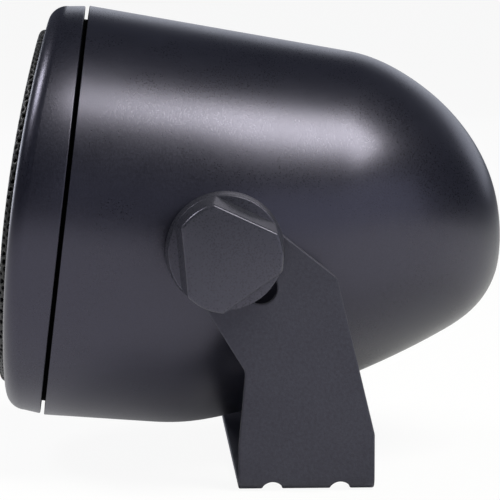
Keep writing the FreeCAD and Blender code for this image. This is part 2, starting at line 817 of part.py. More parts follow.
def rounded_path(points, radius):
    """Straight runs joined by tangent arcs."""
    edges = []
    last = points[0]
    for before, corner, after in zip(points, points[1:], points[2:]):
        back = before.sub(corner).normalize()
        ahead = after.sub(corner).normalize()
        half = math.acos(max(-1.0, min(1.0, back.dot(ahead)))) / 2
        trim = radius / math.tan(half)
        start = corner.add(V(back).multiply(trim))
        end = corner.add(V(ahead).multiply(trim))
        inward = back.add(ahead).normalize()
        middle = corner.add(inward.multiply(radius / math.sin(half) - radius))
        edges.append(Part.makeLine(last, start))
        edges.append(Part.Arc(start, middle, end).toShape())
        last = end
    edges.append(Part.makeLine(last, points[-1]))
    return Part.Wire(edges)


def make_lead_wires():
    """Two leads from beside the contacts to the outside of the basket's lower spoke."""
    drum_rear = flange_rear + basket_drum
    seat_front = seat_rear - basket_wall
    wide = V(0, drum_rear, -basket_radius)
    narrow = V(0, seat_front, -basket_seat_radius - basket_wall)
    spoke = wide.add(narrow).multiply(0.5)
    slope = narrow.sub(wide).normalize()
    beside = -contact_sheet / 2 - lead_radius - lead_gap
    leads = []
    for side in (-1, 1):
        place = side * lever_spacing / 2
        start = pad_frame().multVec(V(place, beside, block_root() - lead_radius))
        top = pad_frame().multVec(V(place, beside, block_root() - contact_length))
        turn = math.degrees(math.asin(start.x / spoke.z))
        solder = FreeCAD.Rotation(along, turn).multVec(spoke)
        outward = FreeCAD.Rotation(along, turn).multVec(V(0, slope.z, -slope.y))
        near = solder.add(V(outward).multiply(lead_approach))
        end = solder.add(V(outward).multiply(lead_gap))
        level = V(start.x, top.y - lead_slack, near.z)
        path = rounded_path([start, top, level, near, end], lead_bend)
        first = path.Edges[0]
        circle = Part.Circle(start, first.tangentAt(first.FirstParameter), lead_radius)
        leads.append(path.makePipeShell([Part.Wire(circle.toShape())], True, False))
    return Part.makeCompound(leads)


def make_damping_wadding():
    pad = bullet(wall + wadding_gap)
    return pad.common(axial(mouth_radius, wadding_start, tip_y - wadding_tail))


def write(name, shape):
    shape.exportStep("parts/" + name + ".step")
    print(name, "solids", len(shape.Solids), "valid", shape.isValid(), "volume", round(shape.Volume, 1))


def main():
    os.makedirs("parts", exist_ok=True)
    write("bracket", make_bracket())
    cabinet = {
        "housing": make_housing(),
        "bezel": make_bezel(),
        "grille": make_grille(),
        "mouth_gasket": make_mouth_gasket(),
        "bezel_screws": make_bezel_screws(),
        "pivot_inserts": make_pivot_inserts(),
        "driver_basket": make_basket(),
        "driver_gasket": make_driver_gasket(),
        "driver_screws": make_driver_screws(),
        "top_plate": tube(plate_radius, winding_outer + coil_gap, plate_thickness, V(0, seat_rear, 0), along),
        "magnet": tube(magnet_radius, magnet_bore, magnet_thickness, V(0, plate_rear, 0), along),
        "pole_plate": make_pole_plate(),
        "voice_coil": make_voice_coil(),
        "cone": make_cone(),
        "dust_cap": make_dust_cap(),
        "surround": make_surround(),
        "spider": make_spider(),
        "terminal_block": on_pad(make_terminal_block()),
        "terminal_lever_red": on_pad(make_terminal_lever(1)),
        "terminal_lever_black": on_pad(make_terminal_lever(-1)),
        "terminal_contacts": on_pad(make_terminal_contacts()),
        "terminal_screws": on_pad(make_terminal_screws()),
        "lead_wires": make_lead_wires(),
        "damping_wadding": make_damping_wadding()}
    pivot_pieces = {
        "slot_bush": make_slot_bush(),
        "knob_washer": make_knob_washer(),
        "knob_stud": make_stud(),
        "knob": make_knob()}
    for name, shape in pivot_pieces.items():
        cabinet[name + "_right"] = shape
        cabinet[name + "_left"] = mirrored(shape)
    for name, shape in cabinet.items():
        write(name, in_cabinet(shape))


main()
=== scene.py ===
import json
import math
import bmesh
import bpy
import numpy as np
from mathutils import Matrix, Vector

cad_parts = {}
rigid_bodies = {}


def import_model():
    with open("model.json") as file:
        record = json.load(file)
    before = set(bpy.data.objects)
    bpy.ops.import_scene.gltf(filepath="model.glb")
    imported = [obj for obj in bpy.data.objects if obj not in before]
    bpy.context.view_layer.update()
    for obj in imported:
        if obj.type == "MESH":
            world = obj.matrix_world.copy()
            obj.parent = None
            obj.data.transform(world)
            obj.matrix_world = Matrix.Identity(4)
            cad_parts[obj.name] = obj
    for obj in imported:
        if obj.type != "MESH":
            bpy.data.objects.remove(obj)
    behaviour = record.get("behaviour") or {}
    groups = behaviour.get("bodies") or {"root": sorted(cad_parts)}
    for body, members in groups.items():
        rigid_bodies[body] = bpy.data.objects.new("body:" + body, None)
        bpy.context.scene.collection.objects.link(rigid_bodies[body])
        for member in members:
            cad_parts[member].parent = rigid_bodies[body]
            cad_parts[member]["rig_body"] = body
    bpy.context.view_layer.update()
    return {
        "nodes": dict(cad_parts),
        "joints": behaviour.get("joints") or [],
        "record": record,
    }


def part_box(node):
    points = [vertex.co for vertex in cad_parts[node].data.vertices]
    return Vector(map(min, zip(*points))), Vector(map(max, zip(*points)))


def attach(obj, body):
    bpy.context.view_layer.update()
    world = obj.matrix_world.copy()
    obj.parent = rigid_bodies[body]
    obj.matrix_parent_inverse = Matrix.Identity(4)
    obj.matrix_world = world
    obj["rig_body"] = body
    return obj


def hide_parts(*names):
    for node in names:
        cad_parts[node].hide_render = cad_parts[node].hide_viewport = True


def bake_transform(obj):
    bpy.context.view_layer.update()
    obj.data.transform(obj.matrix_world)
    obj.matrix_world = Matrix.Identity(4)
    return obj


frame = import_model()
mm = 0.001  # pieces are set in millimetres, finishes and the stage in metres
weld = 0.001  # corners nearer than this, in millimetres, are one
jointOf = {joint["name"]: joint for joint in frame["joints"]}
slotOf = {row["node"]: row["material_slot"] for row in frame["record"]["subparts"]}
pivot = Vector(jointOf["cabinet_tilt"]["pos_m"])
frontWay = Vector(jointOf["cone_travel"]["axis"])  # along the cabinet's axis, out of its front
noseUp = math.atan2(frontWay.z, -frontWay.y)
cabinetPlace = Matrix.Translation(pivot) @ Matrix.Rotation(-noseUp, 4, "X") @ Matrix.Scale(mm, 4)
bracketPlace = Matrix.Scale(mm, 4)
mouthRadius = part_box("bezel")[1].x / mm
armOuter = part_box("bracket")[1].x / mm
print("frame loaded, nose up", round(math.degrees(noseUp), 2), "degrees")


# Wiring of materials

def plug(node, values):
    for key, value in values.items():
        if isinstance(value, Wire):
            node.id_data.links.new(value.socket, node.inputs[key])
        else:
            node.inputs[key].default_value = value


class Wire:  # a socket, with sums on it written as sums
    def __init__(self, tree, socket=None):
        self.tree = tree
        self.socket = socket

    def node(self, kind, settings, values, output=0):
        made = self.tree.nodes.new(kind)
        for key, value in settings.items():
            setattr(made, key, value)
        plug(made, values)
        return Wire(self.tree, made.outputs[output])

    def maths(self, operation, first, second):
        return self.node("ShaderNodeMath", {"operation": operation}, {0: first, 1: second})

    def __add__(self, other):
        return self.maths("ADD", self, other)

    def __mul__(self, other):
        return self.maths("MULTIPLY", self, other)

    __radd__ = __add__
    __rmul__ = __mul__

    def noise(self, size, detail=2.0, rough=0.5):  # features of about this size in metres
        values = {"Vector": self, "Scale": 1.0 / size, "Detail": detail, "Roughness": rough}
        return self.node("ShaderNodeTexNoise", {"noise_dimensions": "3D"}, values)

    def ramp(self, low, high, fromLow=0.35, fromHigh=0.65):
        values = {"Value": self, "From Min": fromLow, "From Max": fromHigh, "To Min": low, "To Max": high}
        return self.node("ShaderNodeMapRange", {"clamp": True}, values)

    def spread(self, middle, reach):
        return self.ramp(middle - reach, middle + reach)

    def tint(self, colour, dark, light):  # the colour from a darker to a lighter share of it
        first, last = ((*[channel * share for channel in colour], 1) for share in (dark, light))
        return self.node("ShaderNodeMix", {"data_type": "RGBA"}, {0: self, 6: first, 7: last}, 2)

    def bump(self, depth, strength):
        return self.node("ShaderNodeBump", {}, {"Height": self, "Distance": depth, "Strength": strength})


def newFinish(name):
    material = bpy.data.materials.new(name)
    material.use_nodes = True
    shader = material.node_tree.nodes["Principled BSDF"]
    place = Wire(material.node_tree).node("ShaderNodeTexCoord", {}, {}, "Object")
    return material, shader, place


plasticSet = {"poreDetail": 3.0, "poreRough": 0.6, "cloudSize": 0.03, "cloudShare": 0.25, "poreGloss": 0.035,
              "cloudGloss": 0.015, "bump": 0.5}


def mouldedPlastic(name, colour, rough, grain, relief, specular=0.5, gleam=(1, 1, 1), mottle=0.2):
    s = plasticSet
    material, shader, place = newFinish(name)
    pores = place.noise(grain, s["poreDetail"], s["poreRough"])
    clouds = place.noise(s["cloudSize"])
    tone = pores * (1 - s["cloudShare"]) + clouds * s["cloudShare"]
    plug(shader, {
        "Base Color": tone.ramp(0.0, 1.0).tint(colour, 1 - mottle, 1 + mottle),
        "Roughness": pores.spread(rough, s["poreGloss"]) + clouds.spread(0.0, s["cloudGloss"]),
        "Specular IOR Level": specular,
        "Specular Tint": (*gleam, 1),
        "Normal": pores.bump(relief, s["bump"])})
    return material


paintSet = {"pebbleRough": 0.55, "speckScale": 0.35, "speckDetail": 1.0, "cloudSize": 0.02,
            "pebbleShare": 0.4, "speckShare": 0.4, "cloudShare": 0.2, "mottle": 0.35, "gloss": 0.06,
            "pebbleRelief": 0.7, "bump": 0.6}


def powderCoat(name, colour, rough, grain, relief, gleam=(1, 1, 1)):
    s = paintSet
    material, shader, place = newFinish(name)
    pebbles = place.noise(grain, rough=s["pebbleRough"])
    specks = place.noise(grain * s["speckScale"], s["speckDetail"])
    clouds = place.noise(s["cloudSize"])
    tone = pebbles * s["pebbleShare"] + specks * s["speckShare"] + clouds * s["cloudShare"]
    height = pebbles * s["pebbleRelief"] + specks * (1 - s["pebbleRelief"])
    plug(shader, {
        "Base Color": tone.ramp(0.0, 1.0).tint(colour, 1 - s["mottle"], 1 + s["mottle"]),
        "Roughness": specks.spread(rough, s["gloss"]),
        "Specular Tint": (*gleam, 1),
        "Normal": height.bump(relief, s["bump"])})
    return material


metalSet = {"drawnSize": 0.0006, "drawnDetail": 3.0, "drawnRough": 0.6, "cloudSize": 0.006,
            "cloudDetail": 3.0, "dull": 0.8, "smoother": 0.08, "rougher": 0.1, "cloudGloss": 0.04,
            "relief": 0.00001, "bump": 0.3}


def platedMetal(name, colour, rough, lay):  # lay is how finely the drawn lines repeat along each axis
    s = metalSet
    material, shader, place = newFinish(name)
    streaks = place.node("ShaderNodeMapping", {}, {"Vector": place, "Scale": lay})
    drawn = streaks.noise(s["drawnSize"], s["drawnDetail"], s["drawnRough"])
    clouds = place.noise(s["cloudSize"], s["cloudDetail"])
    gloss = drawn.ramp(rough - s["smoother"], rough + s["rougher"])
    plug(shader, {
        "Base Color": clouds.ramp(0.0, 1.0).tint(colour, s["dull"], 1.0),
        "Metallic": 1.0,
        "Roughness": gloss + clouds.spread(0.0, s["cloudGloss"]),
        "Normal": drawn.bump(s["relief"], s["bump"])})
    return material


fibreSet = {"threadDetail": 4.0, "threadRough": 0.7, "clumpScale": 6.0, "clumpShare": 0.4, "dark": 0.7,
            "light": 1.15, "smoother": 0.08, "rougher": 0.04, "sheen": 0.15, "bump": 0.8}


def feltedFibre(name, colour, rough, fibre, relief):
    s = fibreSet
    material, shader, place = newFinish(name)
    threads = place.noise(fibre, s["threadDetail"], s["threadRough"])
    clumps = place.noise(fibre * s["clumpScale"])
    tone = threads * (1 - s["clumpShare"]) + clumps * s["clumpShare"]
    plug(shader, {
        "Base Color": tone.ramp(0.0, 1.0).tint(colour, s["dark"], s["light"]),
        "Roughness": threads.ramp(rough - s["smoother"], rough + s["rougher"]),
        "Sheen Weight": s["sheen"],
        "Normal": threads.bump(relief, s["bump"])})
    return material


clothSet = {"bandScale": 0.31, "dark": 0.6, "light": 1.1, "smoother": 0.1, "relief": 0.0001, "bump": 0.6}


def wovenCloth(name, colour, rough, pitch):
    s = clothSet
    material, shader, place = newFinish(name)
    bands = {"Vector": place, "Scale": s["bandScale"] / pitch}
    warp = place.node("ShaderNodeTexWave", {"bands_direction": "X"}, bands)
    weft = place.node("ShaderNodeTexWave", {"bands_direction": "Z"}, bands)
    weave = warp * weft
    plug(shader, {
        "Base Color": weave.ramp(0.0, 1.0, 0.0, 1.0).tint(colour, s["dark"], s["light"]),
        "Roughness": weave.ramp(rough, rough - s["smoother"], 0.0, 1.0),
        "Normal": weave.bump(s["relief"], s["bump"])})
    return material


ferriteSet = {"grainSize": 0.0009, "grainDetail": 5.0, "grainRough": 0.7, "stainSize": 0.011,
              "stainDetail": 3.0, "stainShare": 0.5, "dark": 0.7, "light": 1.25, "metallic": 0.25,
              "gloss": 0.08, "relief": 0.00005, "bump": 0.5}


def sinteredFerrite(name, colour, rough):
    s = ferriteSet
    material, shader, place = newFinish(name)
    grains = place.noise(s["grainSize"], s["grainDetail"], s["grainRough"])
    stains = place.noise(s["stainSize"], s["stainDetail"])
    tone = grains * (1 - s["stainShare"]) + stains * s["stainShare"]
    plug(shader, {
        "Base Color": tone.ramp(0.0, 1.0).tint(colour, s["dark"], s["light"]),
        "Metallic": s["metallic"],
        "Roughness": grains.spread(rough, s["gloss"]),
        "Normal": grains.bump(s["relief"], s["bump"])})
    return material


coolGleam = (0.94, 0.90, 1.2)  # blue-black mouldings and paint reflect a little cool
finishes = {
    "cabinet_plastic": mouldedPlastic("cabinetPlastic", (0.0066, 0.0070, 0.0118), rough=0.31, grain=0.0005,
                                      relief=0.000032, specular=0.7, gleam=coolGleam, mottle=0.6),
    # painted shade: a near-black, matte plastic put in the groove between bezel and housing
    "painted_groove_shade": mouldedPlastic("paintedShadePlastic", (0.002, 0.002, 0.0025), rough=0.9, grain=0.0006,
                             relief=0.00001, specular=0.05),
    "knob_plastic": mouldedPlastic("knobPlastic", (0.029, 0.0295, 0.038), rough=0.30, grain=0.0006,
                                   relief=0.00004, specular=0.6, gleam=coolGleam, mottle=0.35),
    "bracket_paint": powderCoat("bracketPaint", (0.027, 0.0275, 0.036), rough=0.50, grain=0.0010,
                                relief=0.00016, gleam=coolGleam),
    "grille_paint": powderCoat("grillePaint", (0.016, 0.016, 0.017), rough=0.45, grain=0.0007,
                               relief=0.00002),
    "basket_paint": powderCoat("basketPaint", (0.03, 0.03, 0.03), rough=0.5, grain=0.0008, relief=0.00003),
    "zinc_steel": platedMetal("zincSteel", (0.62, 0.62, 0.60), rough=0.32, lay=(1.0, 6.0, 6.0)),
    "brass": platedMetal("plainBrass", (0.72, 0.55, 0.25), rough=0.3, lay=(1.0, 5.0, 5.0)),
    "copper": platedMetal("coilCopper", (0.70, 0.38, 0.22), rough=0.35, lay=(1.0, 9.0, 1.0)),
    "ferrite": sinteredFerrite("ringFerrite", (0.09, 0.09, 0.095), rough=0.6),
    "nylon": mouldedPlastic("bushNylon", (0.045, 0.045, 0.048), rough=0.5, grain=0.0005, relief=0.00002),
    "black_rubber": mouldedPlastic("softRubber", (0.025, 0.025, 0.025), rough=0.72, grain=0.0008,
                                   relief=0.00005, specular=0.35),
    "cone_paper": feltedFibre("conePaper", (0.045, 0.044, 0.042), rough=0.85, fibre=0.0009, relief=0.00012),
    "spider_cloth": wovenCloth("spiderCloth", (0.55, 0.40, 0.18), rough=0.85, pitch=0.0008),
    "terminal_plastic": mouldedPlastic("terminalPlastic", (0.028, 0.028, 0.030), rough=0.42, grain=0.0006,
                                       relief=0.00003),
    "lever_red": mouldedPlastic("redLever", (0.48, 0.03, 0.03), rough=0.3, grain=0.0006, relief=0.00001),
    "lever_black": mouldedPlastic("blackLever", (0.03, 0.03, 0.03), rough=0.3, grain=0.0006, relief=0.00001),
    "lead_sheath": mouldedPlastic("leadSheath", (0.06, 0.06, 0.06), rough=0.5, grain=0.0004, relief=0.00001),
    "wadding": feltedFibre("loftWadding", (0.62, 0.62, 0.60), rough=0.92, fibre=0.0016, relief=0.0006)}
print("finishes made:", len(finishes))


# Shared making

def keepPiece(name, bm, node, place, sharp=34.0, rides=True):  # a finished mesh takes the place of its solid
    bm.transform(place)
    mesh = bpy.data.meshes.new(name)
    bm.to_mesh(mesh)
    bm.free()
    mesh.materials.append(finishes[slotOf[node]])
    mesh.polygons.foreach_set("use_smooth", [True] * len(mesh.polygons))
    mesh.set_sharp_from_angle(angle=math.radians(sharp))
    piece = bpy.data.objects.new(name, mesh)
    bpy.context.scene.collection.objects.link(piece)
    if rides:
        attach(piece, frame["nodes"][node]["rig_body"])
    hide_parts(node)
    print("piece", name, len(mesh.polygons), "faces")
    return piece


def softEdges(piece, width, segments, angle):
    bevel = piece.modifiers.new("softEdges", "BEVEL")
    bevel.width = width * mm
    bevel.segments = segments
    bevel.profile = 0.5
    bevel.limit_method = "ANGLE"
    bevel.angle_limit = math.radians(angle)
    bevel.harden_normals = True


def thickened(piece, thickness):  # inwards from the faces' outer side
    wall = piece.modifiers.new("wall", "SOLIDIFY")
    wall.thickness = thickness * mm
    wall.offset = -1.0
    wall.use_even_offset = True
    return wall


def arc(centre, radius, first, last, count):
    turns = np.radians(np.linspace(first, last, count + 1))
    return [(centre[0] + radius * math.cos(turn), centre[1] + radius * math.sin(turn)) for turn in turns]


def everything(bm):
    return bm.verts[:] + bm.edges[:] + bm.faces[:]


def vertsOf(geom):
    return [item for item in geom if isinstance(item, bmesh.types.BMVert)]


def edgesOf(geom):
    return [item for item in geom if isinstance(item, bmesh.types.BMEdge)]


def wireLoop(bm, points):  # a closed loop of edges
    verts = [bm.verts.new(point) for point in points]
    return [bm.edges.new(pair) for pair in zip(verts, verts[1:] + verts[:1])]


def turned(bm, profile, steps):  # a closed outline of (radius, y) spun about the cabinet's axis
    edges = wireLoop(bm, [(radius, y, 0) for radius, y in profile])
    verts = list({vert for edge in edges for vert in edge.verts})
    bmesh.ops.spin(bm, geom=verts + edges, cent=(0, 0, 0), axis=(0, 1, 0), dvec=(0, 0, 0),
                   angle=2 * math.pi, steps=steps, use_merge=True)
    bmesh.ops.remove_doubles(bm, verts=bm.verts[:], dist=weld)
    bmesh.ops.recalc_face_normals(bm, faces=bm.faces[:])


def bevelSharp(bm, edges, width, segments):
    bmesh.ops.bevel(bm, geom=edges, offset=width, offset_type="OFFSET", segments=segments, profile=0.5,
                    affect="EDGES", material=-1, clamp_overlap=True)


def joinFlats(bm, angle):  # faces that lie flat together become one
    bmesh.ops.dissolve_limit(bm, angle_limit=math.radians(angle), verts=bm.verts[:], edges=bm.edges[:])


# Housing: round sections between a top and a bottom outline

housingSet = {
    "mouthY": -48.9, "tipY": 92.3, "wall": 3.2, "rings": 84, "segments": 144, "spanSteps": 40, "sharp": 60.0,
    "rimRound": 0.2, "rimSteps": 3, "rimAngle": 50.0,
    "topRun": (36.0, 4.9), "topCurve": [(55.6, 10.5), (72.6, 21.8), (86.6, 40.2)],
    "bottomRun": (-14.0, 1.5),
    "bottomCurve": [(-2.6, 2.8), (7.0, 5.4), (33.0, 15.9), (59.3, 30.0), (74.7, 39.9), (86.7, 50.5)],
    "bossRadius": 13.0, "bossDrop": 1.4, "bossLength": 18.0, "bossSegments": 64,
    "padWidth": 42.0, "padLength": 26.0, "padDepth": 7.0, "padHeel": (33.0, 15.9), "padRound": 1.2,
    "padSteps": 4, "padRimSteps": 2, "padRimAngle": 60.0}


def smoothLine(points, startWay, endWay, count):  # a cubic line through the points, with both end directions
    points = np.array(points)
    spans = np.linalg.norm(np.diff(points, axis=0), axis=1)
    system = np.eye(len(points))
    ways = np.zeros_like(points)
    ways[0] = startWay / np.linalg.norm(startWay)
    ways[-1] = endWay
    for index in range(1, len(points) - 1):
        before, after = spans[index - 1], spans[index]
        system[index, index - 1:index + 2] = after, 2 * (before + after), before
        stepBack = (points[index] - points[index - 1]) * after / before
        stepOn = (points[index + 1] - points[index]) * before / after
        ways[index] = 3 * (stepBack + stepOn)
    ways = np.linalg.solve(system, ways)
    line = []
    for index, span in enumerate(spans):
        for t in np.linspace(0, 1, count, endpoint=False):
            near = (1 + 2 * t) * (1 - t) ** 2 * points[index] + t * t * (3 - 2 * t) * points[index + 1]
            lean = t * (1 - t) ** 2 * ways[index] - t * t * (1 - t) * ways[index + 1]
            line.append(near + span * lean)
    return np.array(line + [points[-1]])


def housingOutline(side, run, curve):  # equal steps along a straight run and the curve to the tip
    spots = [(housingSet["mouthY"], 0.0), run] + curve
    spots = [np.array((y, side * (mouthRadius - drop))) for y, drop in spots]
    spots.append(np.array((housingSet["tipY"], 0.0)))
    bend = smoothLine(spots[1:], spots[1] - spots[0], np.array((0.0, -side)), housingSet["spanSteps"])
    line = np.vstack((spots[:1], bend))
    along = np.concatenate(([0], np.cumsum(np.linalg.norm(np.diff(line, axis=0), axis=1))))
    steps = np.linspace(0, along[-1], housingSet["rings"] + 1)
    places = zip(np.interp(steps, along, line[:, 0]), np.interp(steps, along, line[:, 1]))
    return [Vector((0, y, z)) for y, z in places]


def ringPlaces(tops, bottoms):  # a matrix that lays a unit circle between each pair of points
    places = []
    up = Vector((0, 0, 1))
    for top, bottom in zip(tops, bottoms):
        span = top - bottom
        if span.length > weld:
            up = span.normalized()
        across = Vector((1, 0, 0))
        turn = Matrix((across, up, across.cross(up))).transposed().to_4x4()
        places.append(Matrix.Translation((top + bottom) / 2) @ turn @ Matrix.Scale(span.length / 2, 4))
    return places


def makeHousing():
    s = housingSet
    tops = housingOutline(1, s["topRun"], s["topCurve"])
    bottoms = housingOutline(-1, s["bottomRun"], s["bottomCurve"])
    places = ringPlaces(tops, bottoms)
    bm = bmesh.new()
    ring = bmesh.ops.create_circle(bm, cap_ends=False, segments=s["segments"], radius=1.0, matrix=places[0])
    edges = list({edge for vert in ring["verts"] for edge in vert.link_edges})
    for last, place in zip(places, places[1:]):
        grown = bmesh.ops.extrude_edge_only(bm, edges=edges)["geom"]
        edges = edgesOf(grown)
        bmesh.ops.transform(bm, matrix=place @ last.inverted(), verts=vertsOf(grown))
    bmesh.ops.remove_doubles(bm, verts=bm.verts[:], dist=weld)
    bmesh.ops.recalc_face_normals(bm, faces=bm.faces[:])
    shell = keepPiece("housingShell", bm, "housing", cabinetPlace, s["sharp"])
    # the wall's rim at the mouth takes the painted shade of the groove
    shell.data.materials.append(finishes["painted_groove_shade"])
    thickened(shell, s["wall"]).material_offset_rim = 1
    softEdges(shell, s["rimRound"], s["rimSteps"], s["rimAngle"])


def padPlace():  # local x across, y rearwards and z out of the housing at the terminals
    y, drop = housingSet["padHeel"]
    bottoms = housingOutline(-1, housingSet["bottomRun"], housingSet["bottomCurve"])
    after = next(index for index, point in enumerate(bottoms) if point.y > y)
    way = (bottoms[after] - bottoms[after - 1]).normalized()
    slope = math.atan2(way.z, way.y)
    turn = Matrix.Rotation(slope, 4, "X") @ Matrix.Rotation(math.pi, 4, "Y")
    return Matrix.Translation((0, y, drop - mouthRadius)) @ turn


def makeHousingPads():
    s = housingSet
    bm = bmesh.new()
    length = s["bossLength"]
    for side in (-1, 1):
        middle = side * (mouthRadius - s["bossDrop"] - length / 2)
        place = Matrix.Translation((middle, 0, 0)) @ Matrix.Rotation(math.pi / 2, 4, "Y")
        bmesh.ops.create_cone(bm, cap_ends=True, segments=s["bossSegments"], radius1=s["bossRadius"],
                              radius2=s["bossRadius"], depth=length, matrix=place)
    size = Matrix.Diagonal((s["padWidth"], s["padLength"], s["padDepth"], 1))
    drop = Matrix.Translation((0, 0, -s["padDepth"] / 2))
    pad = bmesh.ops.create_cube(bm, size=1.0, matrix=padPlace() @ drop @ size)
    corners = list({edge for vert in pad["verts"] for edge in vert.link_edges})
    bevelSharp(bm, corners, s["padRound"], s["padSteps"])
    pads = keepPiece("housingPads", bm, "housing", cabinetPlace)
    softEdges(pads, s["rimRound"], s["padRimSteps"], s["padRimAngle"])


makeHousing()
makeHousingPads()


# Bezel: a turned ring with the baffle and spigot, its front bent about a level axis

bezelSet = {
    "rearY": -50.2, "rimY": -65.65, "rearStep": 0.3, "rearRound": 0.4, "taper": 0.6, "edge": 5.2,
    "edgeTilt": 4.0, "bow": 440.0, "bowStart": 4.0, "bore": 57.7, "boreRound": 0.35, "ledgeY": -58.0,
    "ledgeBore": 56.0, "baffleY": -51.0, "baffleBack": -48.0, "opening": 42.5, "spigotInner": 58.5,
    "spigotEnd": -38.0, "neck": 62.0, "grooveDepth": 0.02, "grooveLap": 0.1, "steps": 192, "edgeSteps": 16,
    "roundSteps": 4}


def bowAt(height):  # how far the bent front falls back at this height off the axis
    return bezelSet["bow"] - math.sqrt(bezelSet["bow"] ** 2 - height ** 2)


def makeBezel():
    s = bezelSet
    rear, rim, edge, bore = s["rearY"], s["rimY"], s["edge"], s["bore"]
    rearRound, boreRound = s["rearRound"], s["boreRound"]
    outer = mouthRadius - s["rearStep"]
    profile = arc((outer - rearRound, rear - rearRound), rearRound, 90, 0, s["roundSteps"])
    profile += arc((outer - s["taper"] - edge, rim + edge), edge, s["edgeTilt"], -90, s["edgeSteps"])
    profile += arc((bore + boreRound, rim + boreRound), boreRound, -90, -180, s["roundSteps"])
    profile += [(bore, s["ledgeY"]), (s["ledgeBore"], s["ledgeY"]),
                (s["ledgeBore"], s["baffleY"]), (s["opening"], s["baffleY"]),
                (s["opening"], s["baffleBack"]), (s["spigotInner"], s["baffleBack"]),
                (s["spigotInner"], s["spigotEnd"]), (s["neck"], s["spigotEnd"]), (s["neck"], rear)]
    bm = bmesh.new()
    turned(bm, profile, s["steps"])
    start = rear - s["bowStart"]
    for vert in bm.verts:  # the bow fades in along the side
        fade = min(max((start - vert.co.y) / (start - rim - edge), 0), 1)
        vert.co.y += bowAt(vert.co.z) * fade
    for face in bm.faces:  # the groove behind the ring takes painted shade, a near-black matte finish
        middle = face.calc_center_median()
        across = math.hypot(middle.x, middle.z)
        inGroove = s["neck"] - s["grooveLap"] < across < outer - rearRound
        face.material_index = int(inGroove and middle.y > rear - s["grooveDepth"])
    ring = keepPiece("bezelRing", bm, "bezel", cabinetPlace)
    ring.data.materials.append(finishes["painted_groove_shade"])


makeBezel()


# Grille: perforated sheet drawn over a bent front, a rounded edge and a short skirt

grilleSet = {
    "pitch": 2.5, "hole": 0.82, "holeSides": 12, "radius": 57.2, "edge": 1.8, "rise": 1.9, "sheet": 0.8,
    "skirt": 2.6, "spare": 2, "insideY": -20.0, "sharp": 50.0, "hemLap": 1.0, "hemGap": 0.1, "hemSteps": 160}


def repeated(bm, count, shiftAt):  # copies of all that is there, to both sides of it
    geom = everything(bm)
    for step in range(-count, count + 1):
        if step:
            extra = bmesh.ops.duplicate(bm, geom=geom)["geom"]
            bmesh.ops.translate(bm, verts=vertsOf(extra), vec=shiftAt(step))


def perforatedRound(reach):  # a flat round of sheet, with its holes in staggered columns
    s = grilleSet
    pitch = s["pitch"]
    columnStep = pitch * math.sqrt(3) / 2
    turn = Matrix.Rotation(math.pi / 6, 4, "Z")
    bm = bmesh.new()
    bmesh.ops.create_circle(bm, cap_ends=False, segments=6, radius=pitch / math.sqrt(3), matrix=turn)
    bmesh.ops.create_circle(bm, cap_ends=False, segments=s["holeSides"], radius=s["hole"], matrix=turn)
    bmesh.ops.triangle_fill(bm, use_beauty=True, use_dissolve=False, edges=bm.edges[:])
    repeated(bm, int(reach / pitch) + s["spare"], lambda step: (0, pitch * step, 0))
    repeated(bm, int(reach / columnStep) + s["spare"],
             lambda step: (columnStep * step, pitch / 2 * (step % 2), 0))
    outside = [face for face in bm.faces if face.calc_center_median().length > reach]
    bmesh.ops.delete(bm, geom=outside, context="FACES")
    bmesh.ops.remove_doubles(bm, verts=bm.verts[:], dist=weld)
    pinched = True
    while pinched:  # no two corners of the trimmed sheet touch
        pinched = [vert for vert in bm.verts if sum(edge.is_boundary for edge in vert.link_edges) > 2]
        touching = {face for vert in pinched for face in vert.link_faces}
        bmesh.ops.delete(bm, geom=list(touching), context="FACES")
    return bm


def makeGrille():
    s = grilleSet
    edge = s["edge"]
    flat = s["radius"] - edge
    bendLength = edge * math.pi / 2
    bm = perforatedRound(flat + bendLength + s["skirt"])
    front = bezelSet["rimY"] - s["rise"]
    for vert in bm.verts:
        span = vert.co.length
        angle = min(max(span - flat, 0) / edge, math.pi / 2)
        radius = min(span, flat) + edge * math.sin(angle)
        drop = edge * (1 - math.cos(angle)) + max(span - flat - bendLength, 0)
        x, z = vert.co.x * radius / span, vert.co.y * radius / span
        vert.co = (x, front + drop + bowAt(z), z)
    bm.normal_update()
    inside = Vector((0, s["insideY"], 0))
    inward = [face for face in bm.faces if face.normal.dot(face.calc_center_median() - inside) < 0]
    bmesh.ops.reverse_faces(bm, faces=inward)
    thickened(keepPiece("grilleSheet", bm, "grille", cabinetPlace, s["sharp"]), s["sheet"])


def makeGrilleHem():  # the plain end of the skirt, down in the bezel's bore
    s = grilleSet
    ledge = bezelSet["ledgeY"]
    top = bezelSet["rimY"] - s["rise"] + s["edge"] + s["skirt"] - s["hemLap"]
    inner = s["radius"] - s["sheet"]
    bm = bmesh.new()
    turned(bm, [(inner, top), (s["radius"], top), (s["radius"], ledge), (inner, ledge)], s["hemSteps"])
    for vert in bm.verts:
        if vert.co.y < ledge - s["hemGap"]:
            vert.co.y = min(vert.co.y + bowAt(vert.co.z), ledge - s["hemGap"])
    keepPiece("grilleHem", bm, "grille", cabinetPlace)


makeGrille()
makeGrilleHem()


# Bracket: a flat blank with rounded edges and its slots, folded up at both bends

